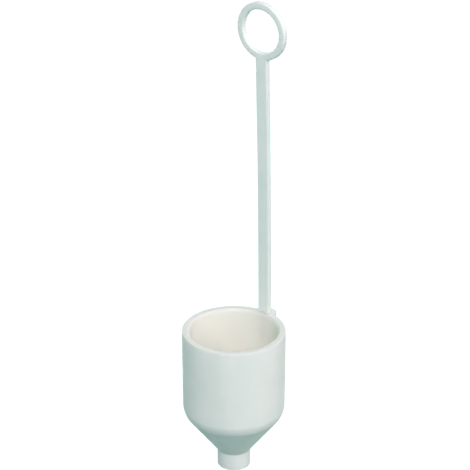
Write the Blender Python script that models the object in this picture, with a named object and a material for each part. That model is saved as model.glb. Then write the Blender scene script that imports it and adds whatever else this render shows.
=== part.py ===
"""Dip flow cup: a moulded cup with a cone and a stem, a long plug-in handle and an outlet nozzle.

Lengths are metres. Every shape is laid out in the cup's own frame: the cup's axis is Z, the rim lies at
z = 0 and the handle stands on the +Y side. A parent empty then moves the whole cup so that the world's
origin is the point where a hook bears in the hanging ring.
"""

import math

import bmesh
import bpy

MM = 0.001

# Clearance
FIT_GAP = 0.3 * MM

# Cup
RIM_RADIUS = 27.5 * MM
RIM_LAND = 3.1 * MM
RIM_ROUND = 0.4 * MM
LIP_BEVEL_WIDTH = 0.9 * MM
LIP_BEVEL_DEPTH = 1.2 * MM
WALL_DRAFT = 0.15 * MM
CUP_DEPTH = 47.8 * MM
SHOULDER_ROUND = 10.5 * MM
INNER_SHOULDER_ROUND = 6.5 * MM
CONE_HALF_ANGLE = math.radians(36.9)
STEM_RADIUS = 8.9 * MM
STEM_LENGTH = 9.7 * MM
STEM_WALL = 2.5 * MM
STEM_ROOT_ROUND = 1.2 * MM
STEM_EDGE_ROUND = 0.4 * MM

# Outlet nozzle, pressed up into the stem
SEAT_DROP = 2.8 * MM
THROAT_RADIUS = 3.0 * MM
ENTRY_DEPTH = 1.6 * MM
ORIFICE_RADIUS = 2.0 * MM
ORIFICE_LENGTH = 4.0 * MM

# Handle
STRAP_WIDTH = 6.85 * MM
STRAP_THICKNESS = 3.05 * MM
STRAP_SETBACK = 0.3 * MM
RING_HEIGHT = 159.1 * MM
RING_BORE_RADIUS = 11.3 * MM
RING_BAND = 3.75 * MM
BOW_LEAN = 1.5 * MM
BOW_SAG = 2.0 * MM
TANG_LENGTH = 14.7 * MM
TANG_FRONT_STEP = 1.05 * MM
TANG_BACK_STEP = 0.35 * MM
TANG_SIDE_STEP = 1.0 * MM

# Handle socket on the cup's outer wall
SOCKET_CHEEK = 2.6 * MM
SOCKET_FLANK_DRAW = 2.4 * MM
SOCKET_FLARE = 3.5 * MM
SOCKET_FLARE_DEPTH = 0.4 * MM
SOCKET_BACK_WALL = 4.4 * MM
SOCKET_ROOT_ROUND = 6.0 * MM
SOCKET_CORNER_ROUND = 1.4 * MM
SOCKET_EDGE_ROUND = 0.35 * MM
SOCKET_FLOOR = 2.5 * MM
SOCKET_TAPER = 4.0 * MM

# Smoothness of the faceted shapes
TURN_STEPS = 64
RING_STEPS = 44
CHORD_STEPS = 4
STRAP_ROWS = 8
ARC_STEP = math.radians(12)
EDGE_ROUND_STEPS = 3
SHARP_ANGLE = math.radians(35)
OVERCUT = 2.0 * MM

# Finish, as linear colour and roughness
MOULDING_COLOUR = (0.80, 0.83, 0.81)
MOULDING_ROUGHNESS = 0.42
NOZZLE_COLOUR = (0.78, 0.80, 0.78)
NOZZLE_ROUGHNESS = 0.35

# Sizes that follow from the ones above
RIM_EDGE_RADIUS = RIM_RADIUS - RIM_LAND
INNER_RADIUS = RIM_EDGE_RADIUS - LIP_BEVEL_WIDTH
STEM_TOP = -CUP_DEPTH - (RIM_RADIUS - WALL_DRAFT - STEM_RADIUS) / math.tan(CONE_HALF_ANGLE)
STEM_BOTTOM = STEM_TOP - STEM_LENGTH
STEM_BORE_RADIUS = STEM_RADIUS - STEM_WALL
NOZZLE_SEAT = STEM_TOP - SEAT_DROP
NOZZLE_TOP = NOZZLE_SEAT - FIT_GAP
NOZZLE_BOTTOM = NOZZLE_TOP - ENTRY_DEPTH - ORIFICE_LENGTH
NOZZLE_RADIUS = STEM_BORE_RADIUS - FIT_GAP
RING_RADIUS = RING_BORE_RADIUS + RING_BAND
STRAP_FRONT = RIM_EDGE_RADIUS + STRAP_SETBACK
STRAP_TOP = RING_HEIGHT - math.sqrt(RING_RADIUS**2 - (STRAP_WIDTH / 2) ** 2)
TANG_FRONT = STRAP_FRONT + TANG_FRONT_STEP
TANG_BACK = STRAP_FRONT + STRAP_THICKNESS - TANG_BACK_STEP
TANG_HALF_WIDTH = STRAP_WIDTH / 2 - TANG_SIDE_STEP
POCKET_DEPTH = TANG_LENGTH + FIT_GAP


def bow(height):
    """How far the handle has bent towards the cup's axis at a height. The ring goes on straight."""
    along = min(max(height, 0.0), STRAP_TOP) / STRAP_TOP
    slope = (BOW_LEAN + 2 * BOW_SAG) / STRAP_TOP
    return BOW_LEAN * along + BOW_SAG * along**2 + slope * max(height - STRAP_TOP, 0.0)


def rounded(corners):
    """The points of an open path whose corners, given as (across, up, radius), are rounded by arcs."""
    points = []
    for index, (x, y, radius) in enumerate(corners):
        if radius == 0 or index in (0, len(corners) - 1):
            points.append((x, y))
            continue
        before = unit(corners[index - 1][0] - x, corners[index - 1][1] - y)
        after = unit(corners[index + 1][0] - x, corners[index + 1][1] - y)
        half = math.acos(max(-1.0, min(1.0, before[0] * after[0] + before[1] * after[1]))) / 2
        middle = unit(before[0] + after[0], before[1] + after[1])
        centre = (x + middle[0] * radius / math.sin(half), y + middle[1] * radius / math.sin(half))
        reach = radius / math.tan(half)
        first = math.atan2(y + before[1] * reach - centre[1], x + before[0] * reach - centre[0])
        last = math.atan2(y + after[1] * reach - centre[1], x + after[0] * reach - centre[0])
        turn = (last - first + math.pi) % (2 * math.pi) - math.pi
        steps = max(2, math.ceil(abs(turn) / ARC_STEP))
        for step in range(steps + 1):
            angle = first + turn * step / steps
            points.append((centre[0] + radius * math.cos(angle), centre[1] + radius * math.sin(angle)))
    return points


def unit(x, y):
    length = math.hypot(x, y)
    return x / length, y / length


def plastic(name, colour, roughness):
    material = bpy.data.materials.new(name)
    material.use_nodes = True
    shader = material.node_tree.nodes["Principled BSDF"]
    shader.inputs["Base Color"].default_value = (*colour, 1.0)
    shader.inputs["Roughness"].default_value = roughness
    shader.inputs["Metallic"].default_value = 0.0
    return material


def add_object(name, shape, parent=None, material=None):
    bmesh.ops.recalc_face_normals(shape, faces=shape.faces)
    mesh = bpy.data.meshes.new(name)
    shape.to_mesh(mesh)
    shape.free()
    if material:
        mesh.materials.append(material)
    mesh.shade_smooth()
    mesh.set_sharp_from_angle(angle=SHARP_ANGLE)
    made = bpy.data.objects.new(name, mesh)
    bpy.context.scene.collection.objects.link(made)
    made.parent = parent
    return made


def add_helper(name, shape, parent):
    helper = add_object(name, shape, parent)
    helper.hide_render = True
    helper.display_type = "WIRE"
    return helper


def turned(profile):
    """A solid of revolution about Z from a closed profile of (radius, height) points off the axis."""
    shape = bmesh.new()
    section = [shape.verts.new((radius, 0, height)) for radius, height in profile]
    sides = [shape.edges.new(pair) for pair in zip(section, section[1:] + section[:1])]
    bmesh.ops.spin(
        shape,
        geom=section + sides,
        axis=(0, 0, 1),
        cent=(0, 0, 0),
        angle=2 * math.pi,
        steps=TURN_STEPS,
        use_merge=True,
    )
    return shape


def slab(outline, low, high):
    """An outline of (x, y) points, raised from one height to another."""
    shape = bmesh.new()
    base = shape.faces.new([shape.verts.new((x, y, low)) for x, y in outline])
    raised = bmesh.ops.extrude_face_region(shape, geom=[base])["geom"]
    moved = [item for item in raised if isinstance(item, bmesh.types.BMVert)]
    bmesh.ops.translate(shape, vec=(0, 0, high - low), verts=moved)
    return shape


def boolean(target, operation, other):
    modifier = target.modifiers.new(other.name, "BOOLEAN")
    modifier.operation = operation
    modifier.object = other
    modifier.solver = "EXACT"


def cup_profile():
    outside = [
        (RIM_EDGE_RADIUS, 0.0, 0.0),
        (RIM_RADIUS, 0.0, RIM_ROUND),
        (RIM_RADIUS - WALL_DRAFT, -CUP_DEPTH, SHOULDER_ROUND),
        (STEM_RADIUS, STEM_TOP, STEM_ROOT_ROUND),
        (STEM_RADIUS, STEM_BOTTOM, STEM_EDGE_ROUND),
        (STEM_BORE_RADIUS, STEM_BOTTOM, 0.0),
    ]
    inside = [
        (STEM_BORE_RADIUS, NOZZLE_SEAT, 0.0),
        (THROAT_RADIUS, NOZZLE_SEAT, 0.0),
        (INNER_RADIUS - WALL_DRAFT, -CUP_DEPTH, INNER_SHOULDER_ROUND),
        (INNER_RADIUS, -LIP_BEVEL_DEPTH, 0.0),
    ]
    return rounded(outside) + rounded(inside)


def wall_reach(across):
    """How far out the cup's outer wall lies, at a distance to the side of the handle's middle."""
    return math.sqrt(RIM_RADIUS**2 - across**2)


def socket_block(parent):
    """The boss behind the rim that takes the tang: flared roots, drawn flanks and a foot that tapers."""
    root = STRAP_WIDTH / 2 + SOCKET_CHEEK
    end = root - SOCKET_FLANK_DRAW
    flare = root + SOCKET_FLARE
    inner = wall_reach(flare) - SOCKET_FLARE_DEPTH
    outer = TANG_BACK + FIT_GAP + SOCKET_BACK_WALL
    half = [
        (flare, inner, 0.0),
        (root, wall_reach(root), SOCKET_ROOT_ROUND),
        (end, outer, SOCKET_CORNER_ROUND),
    ]
    outline = rounded(half + [(-x, y, radius) for x, y, radius in reversed(half)])
    bottom = -POCKET_DEPTH - SOCKET_FLOOR
    shape = slab(outline, bottom, 0.0)
    top_edges = [
        edge
        for edge in shape.edges
        if all(vert.co.z == 0.0 for vert in edge.verts) and any(vert.co.y > inner for vert in edge.verts)
    ]
    bmesh.ops.bevel(
        shape,
        geom=top_edges,
        offset=SOCKET_EDGE_ROUND,
        segments=EDGE_ROUND_STEPS,
        profile=0.5,
        affect="EDGES",
    )
    for vert in shape.verts:
        if vert.co.z < bottom / 2:
            vert.co.z -= SOCKET_TAPER * (outer - vert.co.y) / (outer - inner)
    return add_helper("socket_block", shape, parent)


def socket_pocket(parent):
    half = TANG_HALF_WIDTH + FIT_GAP
    front = TANG_FRONT - FIT_GAP
    back = TANG_BACK + FIT_GAP
    outline = [(half, front), (half, back), (-half, back), (-half, front)]
    return add_helper("socket_pocket", slab(outline, -POCKET_DEPTH, OVERCUT), parent)


def cup_body(parent):
    white = plastic("cup_moulding", MOULDING_COLOUR, MOULDING_ROUGHNESS)
    cup = add_object("cup_body", turned(cup_profile()), parent, white)
    boolean(cup, "UNION", socket_block(parent))
    boolean(cup, "DIFFERENCE", socket_pocket(parent))


def outlet_nozzle(parent):
    profile = [
        (THROAT_RADIUS, NOZZLE_TOP),
        (NOZZLE_RADIUS, NOZZLE_TOP),
        (NOZZLE_RADIUS, NOZZLE_BOTTOM),
        (ORIFICE_RADIUS, NOZZLE_BOTTOM),
        (ORIFICE_RADIUS, NOZZLE_BOTTOM + ORIFICE_LENGTH),
    ]
    white = plastic("nozzle_moulding", NOZZLE_COLOUR, NOZZLE_ROUGHNESS)
    add_object("outlet_nozzle", turned(profile), parent, white)


def ring_angles():
    """Angles round the ring: over the top from strap edge to strap edge, then across the strap."""
    edge = math.asin(STRAP_WIDTH / 2 / RING_RADIUS)
    start = edge - math.pi / 2
    sweep = 2 * (math.pi - edge)
    over = [start + sweep * step / RING_STEPS for step in range(RING_STEPS + 1)]
    across = [over[-1] + 2 * edge * step / CHORD_STEPS for step in range(1, CHORD_STEPS)]
    return over, across


def circle(shape, radius, angles):
    """Points in the handle's plane, round the middle of its ring."""
    places = [(radius * math.cos(angle), 0, RING_HEIGHT + radius * math.sin(angle)) for angle in angles]
    return [shape.verts.new(place) for place in places]


def handle_face(shape):
    """The handle's flat front: a ring of quads on a strap of quads, with the fit gap below its foot."""
    over, across = ring_angles()
    outer = circle(shape, RING_RADIUS, over + across)
    inner = circle(shape, RING_BORE_RADIUS, over + across)
    for index in range(len(outer)):
        onward = (index + 1) % len(outer)
        shape.faces.new((outer[index], outer[onward], inner[onward], inner[index]))
    above = outer[len(over) - 1 :] + outer[:1]
    for row in range(1, STRAP_ROWS + 1):
        height = STRAP_TOP + (FIT_GAP - STRAP_TOP) * row / STRAP_ROWS
        below = [shape.verts.new((side * STRAP_WIDTH / 2, 0, height)) for side in (-1, 1)]
        shape.faces.new(above + below[::-1])
        above = below


def add_tang(shape):
    """Narrows the strap's foot to a tang that leaves a step all round, and draws the tang down."""
    foot = min(shape.faces, key=lambda face: face.calc_center_median().z)
    for depth in (0.0, TANG_LENGTH):
        drawn = bmesh.ops.extrude_face_region(shape, geom=[foot])["geom"]
        bmesh.ops.delete(shape, geom=[foot], context="FACES_ONLY")
        foot = next(item for item in drawn if isinstance(item, bmesh.types.BMFace))
        for vert in foot.verts:
            vert.co.x = math.copysign(TANG_HALF_WIDTH, vert.co.x)
            vert.co.y = TANG_FRONT if vert.co.y < (TANG_FRONT + TANG_BACK) / 2 else TANG_BACK
            vert.co.z = FIT_GAP - depth


def handle(parent):
    shape = bmesh.new()
    handle_face(shape)
    drawn = bmesh.ops.extrude_face_region(shape, geom=shape.faces[:])["geom"]
    moved = [item for item in drawn if isinstance(item, bmesh.types.BMVert)]
    bmesh.ops.translate(shape, vec=(0, STRAP_THICKNESS, 0), verts=moved)
    for vert in shape.verts:
        vert.co.y += STRAP_FRONT - bow(vert.co.z - FIT_GAP)
    add_tang(shape)
    white = plastic("handle_moulding", MOULDING_COLOUR, MOULDING_ROUGHNESS)
    add_object("handle", shape, parent, white)


def main():
    for item in list(bpy.data.objects):
        bpy.data.objects.remove(item)
    rim_centre = bpy.data.objects.new("rim_centre", None)
    bpy.context.scene.collection.objects.link(rim_centre)
    hook_height = RING_HEIGHT + RING_BORE_RADIUS
    hook_radius = STRAP_FRONT + STRAP_THICKNESS / 2 - bow(hook_height - FIT_GAP)
    rim_centre.location = (0, -hook_radius, -hook_height)
    cup_body(rim_centre)
    outlet_nozzle(rim_centre)
    handle(rim_centre)


main()
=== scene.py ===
import math

import bmesh
import bpy
from mathutils import Matrix, Vector


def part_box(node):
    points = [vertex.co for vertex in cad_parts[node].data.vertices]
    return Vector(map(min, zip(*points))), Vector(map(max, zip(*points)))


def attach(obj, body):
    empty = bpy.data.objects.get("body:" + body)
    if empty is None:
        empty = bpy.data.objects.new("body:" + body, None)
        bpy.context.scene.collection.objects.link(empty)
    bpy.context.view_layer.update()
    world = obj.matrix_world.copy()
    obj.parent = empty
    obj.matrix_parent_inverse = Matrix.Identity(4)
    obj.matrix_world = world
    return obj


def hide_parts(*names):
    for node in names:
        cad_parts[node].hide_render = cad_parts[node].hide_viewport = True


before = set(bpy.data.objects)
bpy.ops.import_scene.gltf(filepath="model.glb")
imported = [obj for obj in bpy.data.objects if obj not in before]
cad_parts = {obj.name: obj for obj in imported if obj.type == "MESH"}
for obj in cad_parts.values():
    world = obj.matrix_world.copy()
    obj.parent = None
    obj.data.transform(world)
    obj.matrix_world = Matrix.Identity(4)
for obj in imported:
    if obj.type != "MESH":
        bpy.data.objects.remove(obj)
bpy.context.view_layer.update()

MM = 0.001

# Cup, as in the part's source, in metres
RIM_RADIUS = 27.5 * MM
RIM_LAND = 3.1 * MM
RIM_ROUND = 0.4 * MM
LIP_BEVEL_WIDTH = 0.9 * MM
LIP_BEVEL_DEPTH = 1.2 * MM
LIP_EDGE_ROUND = 0.25 * MM
WALL_DRAFT = 0.15 * MM
CUP_DEPTH = 47.8 * MM
SHOULDER_ROUND = 10.5 * MM
INNER_SHOULDER_ROUND = 6.5 * MM
CONE_HALF_ANGLE = math.radians(36.9)
STEM_RADIUS = 8.9 * MM
STEM_LENGTH = 9.7 * MM
STEM_WALL = 2.5 * MM
STEM_ROOT_ROUND = 1.2 * MM
STEM_EDGE_ROUND = 0.4 * MM

# Outlet nozzle, as in the part's source
FIT_GAP = 0.3 * MM
SEAT_DROP = 2.8 * MM
THROAT_RADIUS = 3.0 * MM
ENTRY_DEPTH = 1.6 * MM
ORIFICE_RADIUS = 2.0 * MM
ORIFICE_LENGTH = 4.0 * MM
NOZZLE_EDGE_ROUND = 0.3 * MM

# Handle, as in the part's source
STRAP_WIDTH = 6.85 * MM
STRAP_THICKNESS = 3.05 * MM
STRAP_FRONT = 24.7 * MM
STRAP_EDGE_ROUND = 0.35 * MM
RING_EDGE_ROUND = 0.7 * MM
RING_HEIGHT = 159.1 * MM
RING_BORE_RADIUS = 11.3 * MM
RING_BAND = 3.75 * MM
BOW_LEAN = 1.5 * MM
BOW_SAG = 2.0 * MM
TANG_LENGTH = 14.7 * MM
TANG_FRONT_STEP = 1.05 * MM
TANG_BACK_STEP = 0.35 * MM
TANG_SIDE_STEP = 1.0 * MM
TANG_LEAD_IN = 0.5 * MM
STRAP_SEAT_GAP = 0.04 * MM

# Handle socket, as in the part's source
SOCKET_CHEEK = 2.6 * MM
SOCKET_FLANK_DRAW = 2.4 * MM
SOCKET_FLARE = 3.5 * MM
SOCKET_FLARE_DEPTH = 0.4 * MM
SOCKET_BACK_WALL = 4.4 * MM
SOCKET_ROOT_ROUND = 6.0 * MM
SOCKET_CORNER_ROUND = 1.4 * MM
SOCKET_EDGE_ROUND = 0.35 * MM
SOCKET_FLOOR = 2.5 * MM
SOCKET_TAPER = 4.0 * MM

# How far a cutter or a joined block runs past the face that it meets
OVERRUN = 3.0 * MM

# Points that a join leaves closer than this become one
SEAM_WELD = 0.001 * MM

# Fineness of the meshes
TURN_STEPS = 144
RING_STEPS = 96
STRAP_ROWS = 24
ROUND_STEPS = 5
SHOULDER_STEPS = 12
LEAD_IN_STEPS = 2
SHARP_ANGLE = math.radians(30)

# Sizes that follow from the ones above
RIM_EDGE_RADIUS = RIM_RADIUS - RIM_LAND
INNER_RADIUS = RIM_EDGE_RADIUS - LIP_BEVEL_WIDTH
STEM_TOP = -CUP_DEPTH - (RIM_RADIUS - WALL_DRAFT - STEM_RADIUS) / math.tan(CONE_HALF_ANGLE)
STEM_BOTTOM = STEM_TOP - STEM_LENGTH
STEM_BORE_RADIUS = STEM_RADIUS - STEM_WALL
NOZZLE_SEAT = STEM_TOP - SEAT_DROP
NOZZLE_TOP = NOZZLE_SEAT - FIT_GAP
NOZZLE_BOTTOM = NOZZLE_TOP - ENTRY_DEPTH - ORIFICE_LENGTH
NOZZLE_RADIUS = STEM_BORE_RADIUS - FIT_GAP
RING_RADIUS = RING_BORE_RADIUS + RING_BAND
STRAP_TOP = RING_HEIGHT - math.sqrt(RING_RADIUS**2 - (STRAP_WIDTH / 2) ** 2)
TANG_FRONT = STRAP_FRONT + TANG_FRONT_STEP
TANG_BACK = STRAP_FRONT + STRAP_THICKNESS - TANG_BACK_STEP
TANG_HALF_WIDTH = STRAP_WIDTH / 2 - TANG_SIDE_STEP
POCKET_DEPTH = TANG_LENGTH + FIT_GAP

# The middle of the rim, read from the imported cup, which is as wide as its rim
cup_low, cup_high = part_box("cup_body")
rim_centre = Vector((0, cup_low.y + (cup_high.x - cup_low.x) / 2, cup_high.z))

# Camera, placed from the middle of the rim. The focal length is in pixels of the square frame
CAMERA_AZIMUTH = math.radians(39.5)
CAMERA_ELEVATION = math.radians(24.985)
CAMERA_DISTANCE = 897.5 * MM
CAMERA_AIM_RIGHT = 0.61 * MM
CAMERA_AIM_UP = 49.9 * MM
FRAME_PIXELS = 470
FOCAL_PIXELS = 1699.57
SENSOR_MM = 36.0
NEAR_CLIP = 0.01
FAR_CLIP = 50

# Floor, well below the hanging cup. It shows pale by a glow that turns to full white between two distances
# from the cup. Its own colour is a dull green, which sends a little cool light up under the cone
FLOOR_DROP = 160 * MM
FLOOR_WIDTH = 12.0
GLOW_START = 0.25
GLOW_END = 0.8
FLOOR_PAPER = "#608C86"
FLOOR_GLOW = "#F6ECEE"
WHITE = "#FFFFFF"

# The room's own light, as cool as the shaded side of the cup in the photo
ROOM_COLOUR = "#C8FFF5"
ROOM_STRENGTH = 0.37

# Clouds and flow streaks of the plastic. The streaks run along the wall and along the strap
CLOUD_SIZE = 14 * MM
CLOUD_DETAIL = 2.0
CLOUD_RANGE = (0.15, 0.38)
CUP_FLOW = (9 * MM, 9 * MM, 60 * MM)
STRAP_FLOW = (2.5 * MM, 2.5 * MM, 50 * MM)
FLOW_DETAIL = 3.0

# Grain of the mould. The real one is 0.1 mm and would not show, so it is drawn coarser
GRAIN_SIZE = 1.3 * MM
GRAIN_DETAIL = 1.0
GRAIN_HEIGHT = 0.03 * MM
GRAIN_STRENGTH = 0.25

# Scuffs, which are twisted and broken up
SCUFF_SIZE = 9 * MM
SCUFF_DETAIL = 6.0
SCUFF_BREAK_UP = 0.75
SCUFF_TWIST = 2.5
SCUFF_RANGE = (0.50, 0.68)

# Gloss of polypropylene: its IOR, and its roughness where it is new and where it is rubbed
PLASTIC_IOR = 1.49
SATIN = 0.50
RUBBED = 0.36

# Polypropylene is milky: half of the light soaks a few millimetres into it, in all colours alike
MILK_SHARE = 0.5
MILK_DEPTH = 4 * MM
MILK_TINT = (1, 1, 1)

# Places of the cup's three finishes in its list of materials
OUTSIDE_FINISH, INSIDE_FINISH, RIM_FINISH = range(3)


def linear(code):
    """Linear colour from an sRGB hex code."""
    colour = []
    for start in (1, 3, 5):
        part = int(code[start : start + 2], 16) / 255
        colour.append(part / 12.92 if part <= 0.04045 else ((part + 0.055) / 1.055) ** 2.4)
    return colour + [1.0]


def add_node(tree, kind, settings=None, **links):
    """Adds a node, sets its properties and its sockets, and links the sockets given an output.

    A socket goes by its name, with _ for a space, or by its number after a leading _.
    """
    node = tree.nodes.new(kind)
    for name, value in (settings or {}).items():
        setattr(node, name, value)
    for name, value in links.items():
        socket = node.inputs[int(name[1:])] if name[0] == "_" else node.inputs[name.replace("_", " ")]
        if isinstance(value, bpy.types.NodeSocket):
            tree.links.new(value, socket)
        else:
            socket.default_value = value
    return node


def empty_material(name):
    """A material with an empty node tree, and the tree."""
    material = bpy.data.materials.new(name)
    material.use_nodes = True
    material.node_tree.nodes.clear()
    return material, material.node_tree


def moulded_polypropylene(name, colour, clouded, flow):
    """White polypropylene from a satin mould.

    It gives the eye slow milky clouds, faint streaks where the melt flowed, a fine matt grain and scuffs
    with a little more shine. Light soaks in and softens thin edges. Flow is the size of the streaks along
    each axis.
    """
    material, tree = empty_material(name)
    place = add_node(tree, "ShaderNodeTexCoord").outputs["Object"]
    along = add_node(
        tree, "ShaderNodeMapping", {"vector_type": "POINT"}, Vector=place, Scale=[1 / size for size in flow]
    )
    clouds = add_node(tree, "ShaderNodeTexNoise", Vector=place, Scale=1 / CLOUD_SIZE, Detail=CLOUD_DETAIL)
    streaks = add_node(tree, "ShaderNodeTexNoise", Vector=along.outputs[0], Scale=1.0, Detail=FLOW_DETAIL)
    grain = add_node(tree, "ShaderNodeTexNoise", Vector=place, Scale=1 / GRAIN_SIZE, Detail=GRAIN_DETAIL)
    scuffs = add_node(
        tree,
        "ShaderNodeTexNoise",
        Vector=place,
        Scale=1 / SCUFF_SIZE,
        Detail=SCUFF_DETAIL,
        Roughness=SCUFF_BREAK_UP,
        Distortion=SCUFF_TWIST,
    )
    shade = add_node(
        tree,
        "ShaderNodeMath",
        {"operation": "MULTIPLY"},
        _0=clouds.outputs["Fac"],
        _1=streaks.outputs["Fac"],
    )
    milkiness = add_node(
        tree,
        "ShaderNodeMapRange",
        Value=shade.outputs[0],
        From_Min=CLOUD_RANGE[0],
        From_Max=CLOUD_RANGE[1],
    )
    tint = add_node(
        tree,
        "ShaderNodeMix",
        {"data_type": "RGBA"},
        _0=milkiness.outputs[0],
        _6=linear(colour),
        _7=linear(clouded),
    )
    worn = add_node(
        tree,
        "ShaderNodeMapRange",
        Value=scuffs.outputs["Fac"],
        From_Min=SCUFF_RANGE[0],
        From_Max=SCUFF_RANGE[1],
        To_Min=SATIN,
        To_Max=RUBBED,
    )
    bump = add_node(
        tree,
        "ShaderNodeBump",
        Strength=GRAIN_STRENGTH,
        Distance=GRAIN_HEIGHT,
        Height=grain.outputs["Fac"],
    )
    shader = add_node(
        tree,
        "ShaderNodeBsdfPrincipled",
        Base_Color=tint.outputs[2],
        Roughness=worn.outputs[0],
        Normal=bump.outputs[0],
        IOR=PLASTIC_IOR,
        Subsurface_Weight=MILK_SHARE,
        Subsurface_Radius=MILK_TINT,
        Subsurface_Scale=MILK_DEPTH,
    )
    add_node(tree, "ShaderNodeOutputMaterial", Surface=shader.outputs[0])
    return material


def section(shape, corners):
    """A closed loop of edges through (radius, height, round, steps) corners. Round 0 leaves one sharp."""
    verts = [shape.verts.new((radius, 0, height)) for radius, height, _, _ in corners]
    shape.faces.new(verts)
    for index, (vert, corner) in enumerate(zip(verts, corners)):
        radius, height, round_off, steps = corner
        if not round_off:
            continue
        here = Vector((radius, height))
        before = Vector(corners[index - 1][:2])
        after = Vector(corners[(index + 1) % len(corners)][:2])
        reach = round_off * math.tan((here - before).angle(after - here) / 2)
        bmesh.ops.bevel(
            shape,
            geom=[vert],
            offset=reach,
            offset_type="ABSOLUTE",
            segments=steps,
            profile=0.5,
            affect="VERTICES",
            material=-1,
        )
    bmesh.ops.delete(shape, geom=shape.faces[:], context="FACES_ONLY")


def turned(corners, steps):
    """A solid of revolution about Z."""
    shape = bmesh.new()
    section(shape, corners)
    bmesh.ops.spin(
        shape,
        geom=shape.verts[:] + shape.edges[:],
        cent=(0, 0, 0),
        axis=(0, 0, 1),
        angle=2 * math.pi,
        steps=steps,
        use_merge=True,
    )
    return shape


def as_object(name, shape):
    """Makes a shape an object of the scene, with its faces outwards."""
    bmesh.ops.recalc_face_normals(shape, faces=shape.faces[:])
    mesh = bpy.data.meshes.new(name)
    shape.to_mesh(mesh)
    shape.free()
    made = bpy.data.objects.new(name, mesh)
    bpy.context.scene.collection.objects.link(made)
    return made


def combine(target, operation, name, shape):
    """Joins a shape to an object, or cuts it away, and keeps the result as the object's mesh."""
    other = as_object(name, shape)
    modifier = target.modifiers.new(name, "BOOLEAN")
    modifier.operation = operation
    modifier.object = other
    modifier.solver = "EXACT"
    bpy.context.view_layer.update()
    evaluated = target.evaluated_get(bpy.context.evaluated_depsgraph_get())
    result = bpy.data.meshes.new_from_object(evaluated)
    joined = bmesh.new()
    joined.from_mesh(result)
    bmesh.ops.remove_doubles(joined, verts=joined.verts[:], dist=SEAM_WELD)
    joined.to_mesh(result)
    joined.free()
    target.modifiers.clear()
    target.data = result
    bpy.data.objects.remove(other)


def dress(piece, body, node, slot, *materials):
    """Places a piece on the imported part, smooths its shading and hangs it on its body."""
    mesh = piece.data
    mesh.transform(Matrix.Translation(rim_centre))
    finishes = [face.material_index for face in mesh.polygons]
    mesh.materials.clear()
    for material in materials:
        mesh.materials.append(material)
    mesh.polygons.foreach_set("material_index", finishes)
    mesh.shade_smooth()
    mesh.set_sharp_from_angle(angle=SHARP_ANGLE)
    shading = piece.modifiers.new("even_shading", "WEIGHTED_NORMAL")
    shading.keep_sharp = True
    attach(piece, body)
    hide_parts(node)


def upright(outline, low, high):
    """An outline of (x, y, round) corners as a block between two heights."""
    shape = bmesh.new()
    section(shape, [(x, y, round_off, ROUND_STEPS) for x, y, round_off in outline])
    bmesh.ops.rotate(shape, matrix=Matrix.Rotation(-math.pi / 2, 3, "X"), verts=shape.verts[:])
    base = bmesh.ops.contextual_create(shape, geom=shape.edges[:])["faces"]
    bmesh.ops.translate(shape, vec=(0, 0, low), verts=shape.verts[:])
    raised = bmesh.ops.extrude_face_region(shape, geom=base)["geom"]
    moved = [item for item in raised if isinstance(item, bmesh.types.BMVert)]
    bmesh.ops.translate(shape, vec=(0, 0, high - low), verts=moved)
    return shape


def cup_shape():
    """The turned cup: rim, wall, shoulder, cone and stem, then back up the stem's bore and the inside."""
    outside = [
        (RIM_EDGE_RADIUS, 0.0, LIP_EDGE_ROUND, ROUND_STEPS),
        (RIM_RADIUS, 0.0, RIM_ROUND, ROUND_STEPS),
        (RIM_RADIUS - WALL_DRAFT, -CUP_DEPTH, SHOULDER_ROUND, SHOULDER_STEPS),
        (STEM_RADIUS, STEM_TOP, STEM_ROOT_ROUND, ROUND_STEPS),
        (STEM_RADIUS, STEM_BOTTOM, STEM_EDGE_ROUND, ROUND_STEPS),
        (STEM_BORE_RADIUS, STEM_BOTTOM, STEM_EDGE_ROUND, ROUND_STEPS),
    ]
    inside = [
        (STEM_BORE_RADIUS, NOZZLE_SEAT, 0.0, 0),
        (THROAT_RADIUS, NOZZLE_SEAT, 0.0, 0),
        (INNER_RADIUS - WALL_DRAFT, -CUP_DEPTH, INNER_SHOULDER_ROUND, SHOULDER_STEPS),
        (INNER_RADIUS, -LIP_BEVEL_DEPTH, LIP_EDGE_ROUND, ROUND_STEPS),
    ]
    return turned(outside + inside, TURN_STEPS)


def wall_reach(across):
    """How far out the cup's outer wall lies, at a distance to the side of the handle's middle."""
    return math.sqrt(RIM_RADIUS**2 - across**2)


def socket_shape():
    """The boss for the handle's tang: flared roots, drawn flanks and a foot that tapers to the wall."""
    root = STRAP_WIDTH / 2 + SOCKET_CHEEK
    end = root - SOCKET_FLANK_DRAW
    flare = root + SOCKET_FLARE
    inner = wall_reach(flare) - SOCKET_FLARE_DEPTH
    outer = TANG_BACK + FIT_GAP + SOCKET_BACK_WALL
    half = [
        (flare, inner, 0.0),
        (root, wall_reach(root), SOCKET_ROOT_ROUND),
        (end, outer, SOCKET_CORNER_ROUND),
    ]
    outline = half + [(-x, y, round_off) for x, y, round_off in reversed(half)]
    bottom = -POCKET_DEPTH - SOCKET_FLOOR
    shape = upright(outline, bottom, 0.0)
    top_edges = []
    for edge in shape.edges:
        lowest = min(vert.co.z for vert in edge.verts)
        furthest = max(vert.co.y for vert in edge.verts)
        if lowest > bottom / 2 and furthest > inner + SOCKET_EDGE_ROUND:
            top_edges.append(edge)
    bmesh.ops.bevel(
        shape,
        geom=top_edges,
        offset=SOCKET_EDGE_ROUND,
        segments=ROUND_STEPS,
        profile=0.5,
        affect="EDGES",
        material=-1,
    )
    for vert in shape.verts:
        if vert.co.z < bottom / 2:
            vert.co.z -= SOCKET_TAPER * (outer - vert.co.y) / (outer - inner)
    return shape


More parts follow.
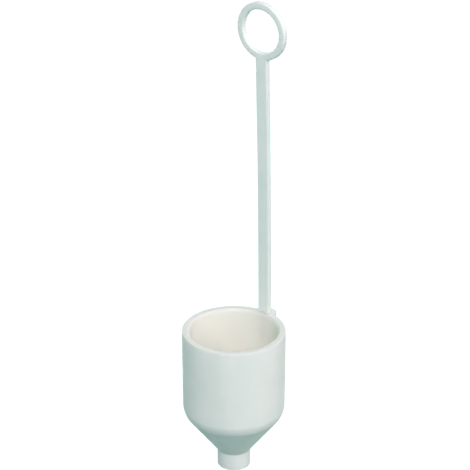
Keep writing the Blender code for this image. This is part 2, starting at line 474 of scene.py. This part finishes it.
def pocket_shape():
    """The room for the handle's tang, open at the top."""
    half = TANG_HALF_WIDTH + FIT_GAP
    front = TANG_FRONT - FIT_GAP
    back = TANG_BACK + FIT_GAP
    corner = FIT_GAP
    outline = [(half, front, corner), (half, back, corner), (-half, back, corner), (-half, front, corner)]
    return upright(outline, -POCKET_DEPTH, OVERRUN)


def make_cup(outside, inside, rim):
    """The cup with its socket. The rim's greyer finish, a painted shade, covers the whole top."""
    cup = as_object("cup_moulding", cup_shape())
    combine(cup, "UNION", "socket", socket_shape())
    combine(cup, "DIFFERENCE", "pocket", pocket_shape())
    for face in cup.data.polygons:
        middle = face.center.xy
        # The whole top takes the rim's greyer finish, a painted shade
        if face.center.z > -LIP_BEVEL_DEPTH:
            face.material_index = RIM_FINISH
        # The inside takes a warmer, lighter white, painted light
        elif middle.length < INNER_RADIUS and middle.dot(face.normal.xy) < 0:
            face.material_index = INSIDE_FINISH
        else:
            face.material_index = OUTSIDE_FINISH
    dress(cup, "cup", "cup_body", "cup_plastic", outside, inside, rim)


def make_nozzle(plastic):
    """The insert in the stem: a cone that leads into a short straight bore."""
    corners = [
        (THROAT_RADIUS, NOZZLE_TOP, 0.0, 0),
        (NOZZLE_RADIUS, NOZZLE_TOP, 0.0, 0),
        (NOZZLE_RADIUS, NOZZLE_BOTTOM, NOZZLE_EDGE_ROUND, ROUND_STEPS),
        (ORIFICE_RADIUS, NOZZLE_BOTTOM, NOZZLE_EDGE_ROUND, ROUND_STEPS),
        (ORIFICE_RADIUS, NOZZLE_BOTTOM + ORIFICE_LENGTH, 0.0, 0),
    ]
    nozzle = as_object("nozzle_insert", turned(corners, TURN_STEPS))
    dress(nozzle, "cup", "outlet_nozzle", "nozzle_plastic", plastic)


def bow(height):
    """How far the handle has bent towards the cup's axis at a height. The ring goes on straight."""
    along = min(max(height, 0.0), STRAP_TOP) / STRAP_TOP
    slope = (BOW_LEAN + 2 * BOW_SAG) / STRAP_TOP
    return BOW_LEAN * along + BOW_SAG * along**2 + slope * max(height - STRAP_TOP, 0.0)


def ring_shape():
    """The hanging ring, with its axis along Y."""
    half = STRAP_THICKNESS / 2
    corners = [
        (RING_BORE_RADIUS, -half, RING_EDGE_ROUND, ROUND_STEPS),
        (RING_RADIUS, -half, RING_EDGE_ROUND, ROUND_STEPS),
        (RING_RADIUS, half, RING_EDGE_ROUND, ROUND_STEPS),
        (RING_BORE_RADIUS, half, RING_EDGE_ROUND, ROUND_STEPS),
    ]
    shape = turned(corners, RING_STEPS)
    bmesh.ops.rotate(shape, matrix=Matrix.Rotation(math.pi / 2, 3, "X"), verts=shape.verts[:])
    bmesh.ops.translate(shape, vec=(0, STRAP_FRONT + half, RING_HEIGHT), verts=shape.verts[:])
    return shape


def strap_shape():
    """The flat strap, in rows that can bend. It ends inside the ring's band."""
    half = STRAP_WIDTH / 2
    back = STRAP_FRONT + STRAP_THICKNESS
    outline = [
        (half, STRAP_FRONT, STRAP_EDGE_ROUND),
        (half, back, STRAP_EDGE_ROUND),
        (-half, back, STRAP_EDGE_ROUND),
        (-half, STRAP_FRONT, STRAP_EDGE_ROUND),
    ]
    top = RING_HEIGHT - RING_BORE_RADIUS - RING_BAND / 4
    shape = upright(outline, STRAP_SEAT_GAP, top)
    uprights = [edge for edge in shape.edges if abs(edge.verts[0].co.z - edge.verts[1].co.z) > top / 2]
    bmesh.ops.subdivide_edges(shape, edges=uprights, cuts=STRAP_ROWS - 1, use_grid_fill=True)
    return shape


def tang_shape():
    """The narrower end that plugs into the socket, with a lead-in round its foot."""
    outline = [
        (TANG_HALF_WIDTH, TANG_FRONT, STRAP_EDGE_ROUND),
        (TANG_HALF_WIDTH, TANG_BACK, STRAP_EDGE_ROUND),
        (-TANG_HALF_WIDTH, TANG_BACK, STRAP_EDGE_ROUND),
        (-TANG_HALF_WIDTH, TANG_FRONT, STRAP_EDGE_ROUND),
    ]
    shape = upright(outline, FIT_GAP - TANG_LENGTH, OVERRUN)
    foot = [face for face in shape.faces if all(vert.co.z < -TANG_LENGTH / 2 for vert in face.verts)]
    bmesh.ops.bevel(
        shape,
        geom=foot[0].edges[:],
        offset=TANG_LEAD_IN,
        segments=LEAD_IN_STEPS,
        profile=0.5,
        affect="EDGES",
        material=-1,
    )
    return shape


def make_handle(plastic):
    """The strap, ring and tang as one moulding, bent as one."""
    handle = as_object("handle_moulding", strap_shape())
    combine(handle, "UNION", "ring", ring_shape())
    combine(handle, "UNION", "tang", tang_shape())
    for vert in handle.data.vertices:
        vert.co.y -= bow(vert.co.z - FIT_GAP)
    dress(handle, "handle", "handle", "handle_plastic", plastic)


def direction(azimuth, elevation):
    """The way from the cup to a viewer or a light. Azimuth counts from the front, to the right."""
    level = math.cos(elevation)
    return Vector((math.sin(azimuth) * level, -math.cos(azimuth) * level, math.sin(elevation)))


def make_camera():
    """The camera at the photo's place and framing."""
    back = direction(CAMERA_AZIMUTH, CAMERA_ELEVATION)
    turn = (-back).to_track_quat("-Z", "Y")
    aim = rim_centre + turn @ Vector((CAMERA_AIM_RIGHT, CAMERA_AIM_UP, 0))
    lens = bpy.data.cameras.new("photo_view")
    lens.sensor_width = SENSOR_MM
    lens.lens = SENSOR_MM * FOCAL_PIXELS / FRAME_PIXELS
    lens.clip_start = NEAR_CLIP
    lens.clip_end = FAR_CLIP
    camera = bpy.data.objects.new("photo_view", lens)
    camera.location = aim + back * CAMERA_DISTANCE
    camera.rotation_euler = turn.to_euler()
    bpy.context.scene.collection.objects.link(camera)
    bpy.context.scene.camera = camera


def add_light(name, azimuth, elevation, distance, size, watts, colour):
    """A square soft light that faces the rim. Azimuth counts from the camera, to the right."""
    back = direction(CAMERA_AZIMUTH + math.radians(azimuth), math.radians(elevation))
    lamp = bpy.data.lights.new(name, "AREA")
    lamp.shape = "SQUARE"
    lamp.size = size
    lamp.energy = watts
    lamp.color = linear(colour)[:3]
    light = bpy.data.objects.new(name, lamp)
    light.location = rim_centre + back * distance
    light.rotation_euler = (-back).to_track_quat("-Z", "Y").to_euler()
    bpy.context.scene.collection.objects.link(light)


def shown_white(tree):
    """1 for the rays that show the background: the camera's, and those that gloss or glass sends on."""
    rays = add_node(tree, "ShaderNodeLightPath").outputs
    gloss = add_node(
        tree, "ShaderNodeMath", {"operation": "MAXIMUM"}, _0=rays["Is Camera Ray"], _1=rays["Is Glossy Ray"]
    )
    glass = rays["Is Transmission Ray"]
    shown = add_node(tree, "ShaderNodeMath", {"operation": "MAXIMUM"}, _0=gloss.outputs[0], _1=glass)
    return shown.outputs[0]


def make_floor():
    """A pale matt paper floor with a soft shadow. Where it is seen it glows up to white."""
    material, tree = empty_material("white_paper_floor")
    place = add_node(tree, "ShaderNodeTexCoord").outputs["Object"]
    flat = add_node(tree, "ShaderNodeVectorMath", {"operation": "MULTIPLY"}, _0=place, _1=(1, 1, 0))
    away = add_node(tree, "ShaderNodeVectorMath", {"operation": "LENGTH"}, _0=flat.outputs[0])
    far = add_node(
        tree, "ShaderNodeMapRange", Value=away.outputs["Value"], From_Min=GLOW_START, From_Max=GLOW_END
    )
    white = add_node(
        tree,
        "ShaderNodeMixRGB",
        Fac=far.outputs[0],
        Color1=linear(FLOOR_GLOW),
        Color2=linear(WHITE),
    )
    glow = add_node(tree, "ShaderNodeEmission", Color=white.outputs[0], Strength=shown_white(tree))
    paper = add_node(tree, "ShaderNodeBsdfDiffuse", Color=linear(FLOOR_PAPER))
    both = add_node(tree, "ShaderNodeAddShader", _0=paper.outputs[0], _1=glow.outputs[0])
    add_node(tree, "ShaderNodeOutputMaterial", Surface=both.outputs[0])
    shape = bmesh.new()
    bmesh.ops.create_grid(shape, x_segments=1, y_segments=1, size=FLOOR_WIDTH / 2)
    bmesh.ops.translate(shape, vec=(0, 0, cup_low.z - FLOOR_DROP), verts=shape.verts[:])
    floor = as_object("floor", shape)
    floor.data.materials.append(material)


def make_world():
    """A soft cool room that lights the part, behind a background that shows white."""
    world = bpy.data.worlds.new("soft_room")
    bpy.context.scene.world = world
    world.use_nodes = True
    tree = world.node_tree
    tree.nodes.clear()
    room = add_node(tree, "ShaderNodeBackground", Color=linear(ROOM_COLOUR), Strength=ROOM_STRENGTH)
    white = add_node(tree, "ShaderNodeBackground", Color=linear(WHITE), Strength=1.0)
    shown = add_node(
        tree, "ShaderNodeMixShader", _0=shown_white(tree), _1=room.outputs[0], _2=white.outputs[0]
    )
    add_node(tree, "ShaderNodeOutputWorld", Surface=shown.outputs[0])


bpy.context.scene.view_settings.view_transform = "Standard"

# The cup's outside is a cool white, and lighter in the clouds
outside = moulded_polypropylene("white_polypropylene_moulded", "#E5EBE7", "#ECEFEC", CUP_FLOW)
# Its inside is a warmer, lighter white: painted light, for the warm light that bounces about inside the cup
inside = moulded_polypropylene("white_polypropylene_inside_painted_light", "#EBEEE6", "#E9EBE3", CUP_FLOW)
# The strap and the ring are a little cooler, with narrow streaks along the strap
strap = moulded_polypropylene("white_polypropylene_strap", "#E1EBE7", "#E7EFEB", STRAP_FLOW)
# The rim is greyer: painted shade that dulls its upward-facing top and the highlight on its rounded outer
# edge
rim = moulded_polypropylene("white_polypropylene_rim_painted_shade", "#D8DCD8", "#DCDFDA", CUP_FLOW)
# The insert is a white between those of the outside and the rim
insert = moulded_polypropylene("white_polypropylene_insert", "#E2E6E3", "#E6E9E6", CUP_FLOW)

make_cup(outside, inside, rim)
make_nozzle(insert)
make_handle(strap)
make_camera()
make_world()
make_floor()

# The front light is the main one, the side light fills from the right, and two weak ones whiten the back
add_light("front_softbox", azimuth=0, elevation=40, distance=1.6, size=0.7, watts=21.7, colour="#FFEAF1")
add_light("side_softbox", azimuth=77, elevation=25, distance=1.6, size=0.9, watts=10.0, colour="#FFE0E4")
add_light("back_softbox", azimuth=162, elevation=0, distance=0.9, size=0.4, watts=3.0, colour="#FFEFF2")
add_light("left_softbox", azimuth=-158, elevation=0, distance=0.9, size=0.4, watts=3.0, colour="#FFF0F3")
